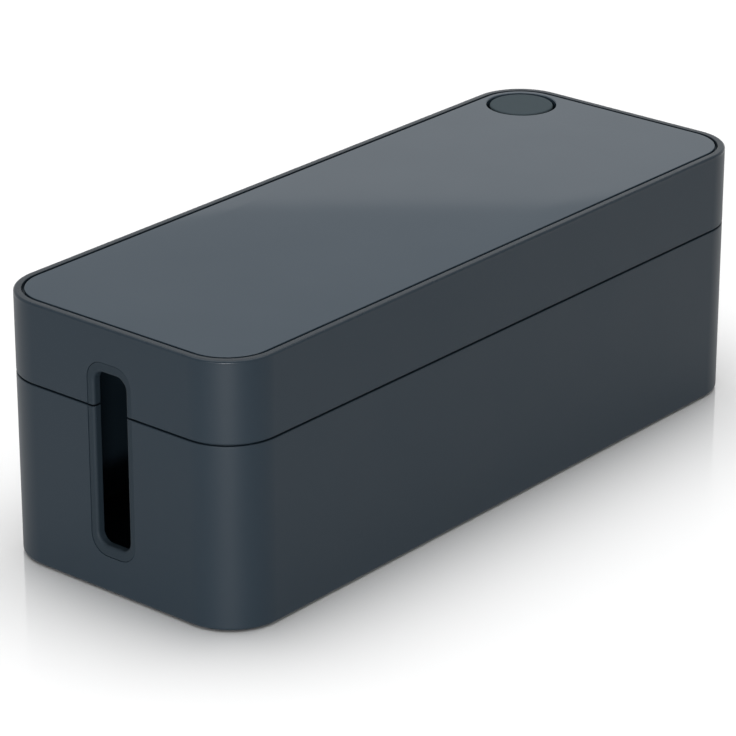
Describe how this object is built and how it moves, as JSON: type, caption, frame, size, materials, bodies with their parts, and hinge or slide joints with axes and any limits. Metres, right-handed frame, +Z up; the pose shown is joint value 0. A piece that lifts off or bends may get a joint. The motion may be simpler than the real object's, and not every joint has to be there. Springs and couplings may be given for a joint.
{
  "type": "cable management box",
  "caption": "Long round-cornered box with a lift-off lid, soft-trimmed cable slots in both ends and a round plug over a cable outlet in the lid.",
  "frame": {"origin": "on the surface that the box stands on, under the centre of its footprint", "axes": "+X along the length, away from the end that faces the picture's camera and towards the end whose lid holds the plug; +Y to the rear; +Z up"},
  "size_m": [0.406, 0.157, 0.138],
  "materials": {
    "shell_plastic": "fine matt moulded texture, dark slate grey",
    "panel_plastic": "satin moulded plastic, dark slate grey",
    "plug_rubber": "dead matt, dark slate grey",
    "trim_rubber": "matt soft plastic, dark slate grey",
    "foot_rubber": "matt black rubber"
  },
  "bodies": {
    "tub": {"base_tub": "shell_plastic", "left_slot_trim_lower": "trim_rubber", "right_slot_trim_lower": "trim_rubber", "foot_front_left": "foot_rubber", "foot_front_right": "foot_rubber", "foot_rear_left": "foot_rubber", "foot_rear_right": "foot_rubber"},
    "lid": {"lid_shell": "shell_plastic", "lid_top_panel": "panel_plastic", "left_slot_trim_upper": "trim_rubber", "right_slot_trim_upper": "trim_rubber"},
    "plug": {"outlet_plug": "plug_rubber"}
  },
  "joints": [
    {"name": "lid_lift", "type": "slide", "parent": "tub", "child": "lid", "axis": [0, 0, 1], "range_m": [0, 0.12]},
    {"name": "plug_lift", "type": "slide", "parent": "lid", "child": "plug", "axis": [0, 0, 1], "range_m": [0, 0.03]}
  ]
}
